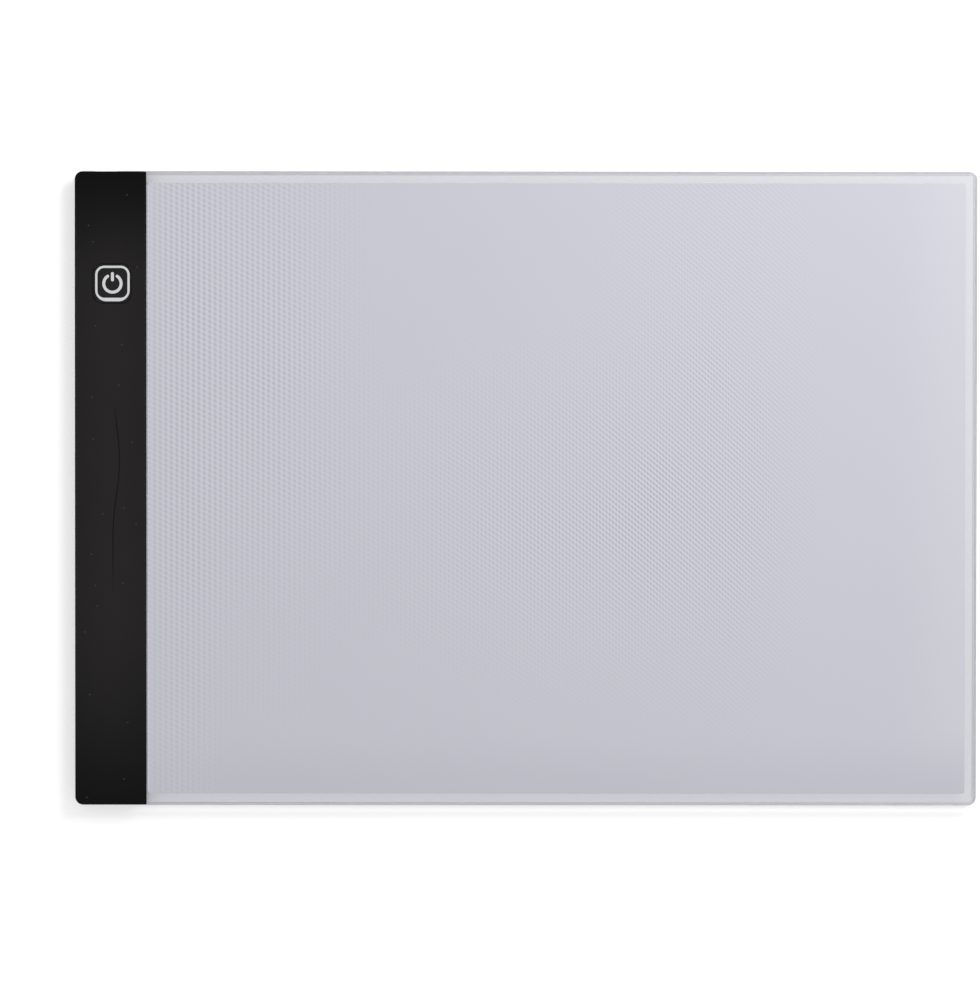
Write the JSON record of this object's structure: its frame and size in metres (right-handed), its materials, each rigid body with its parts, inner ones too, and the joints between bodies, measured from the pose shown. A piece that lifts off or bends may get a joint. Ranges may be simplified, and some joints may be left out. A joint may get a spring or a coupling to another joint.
{
  "type": "led tracing pad",
  "caption": "Thin flat edge-lit tracing panel with a clear rim, a black strip along one short side, a square power key on the strip, a power socket in the edge and rubber feet below.",
  "frame": {"origin": "on the table, under the middle of the pad", "axes": "+X along the long side away from the black strip, +Y towards the edge with the power socket, +Z out of the work surface"},
  "size_m": [0.333, 0.234, 0.0055],
  "materials": {
    "clear_acrylic": "gloss",
    "matte_film": "satin",
    "black_film": "satin",
    "white_plastic": "matte",
    "white_reflector": "satin",
    "white_tape": "matte",
    "dark_rubber": "matte",
    "board_laminate": "satin",
    "white_laminate": "satin",
    "led_housing": "satin",
    "black_resin": "matte",
    "ceramic_part": "satin",
    "bright_steel": "satin",
    "switch_plastic": "satin",
    "wire_insulation": "satin"
  },
  "bodies": {
    "pad": {"light_guide": "clear_acrylic", "front_film": "matte_film", "strip_cover": "black_film", "back_cover": "white_plastic", "reflector_sheet": "white_reflector", "adhesive_frame": "white_tape", "board_tape": "white_tape", "foot_1": "dark_rubber", "foot_2": "dark_rubber", "foot_3": "dark_rubber", "foot_4": "dark_rubber", "control_board": "board_laminate", "driver_chip": "black_resin", "transistor": "black_resin", "resistor_a": "ceramic_part", "resistor_b": "ceramic_part", "capacitor": "ceramic_part", "key_switch_body": "switch_plastic", "usb_shell": "bright_steel", "usb_tongue": "black_resin", "led_board": "white_laminate", "led_01": "led_housing", "led_02": "led_housing", "led_03": "led_housing", "led_04": "led_housing", "led_05": "led_housing", "led_06": "led_housing", "led_07": "led_housing", "led_08": "led_housing", "led_09": "led_housing", "led_10": "led_housing", "led_11": "led_housing", "led_12": "led_housing", "led_13": "led_housing", "led_14": "led_housing", "led_15": "led_housing", "led_16": "led_housing", "led_17": "led_housing", "led_18": "led_housing", "led_19": "led_housing", "led_20": "led_housing", "led_21": "led_housing", "led_22": "led_housing", "led_23": "led_housing", "led_24": "led_housing", "wire_negative": "wire_insulation", "wire_positive": "wire_insulation"},
    "power_key": {"power_key": "black_film", "key_switch_plunger": "switch_plastic"}
  },
  "joints": [
    {"name": "power_key_press", "type": "slide", "parent": "pad", "child": "power_key", "axis": [0, 0, -1], "range_m": [0, 0.00025], "stiffness_N_per_m": 300, "springref_m": -0.0004}
  ]
}
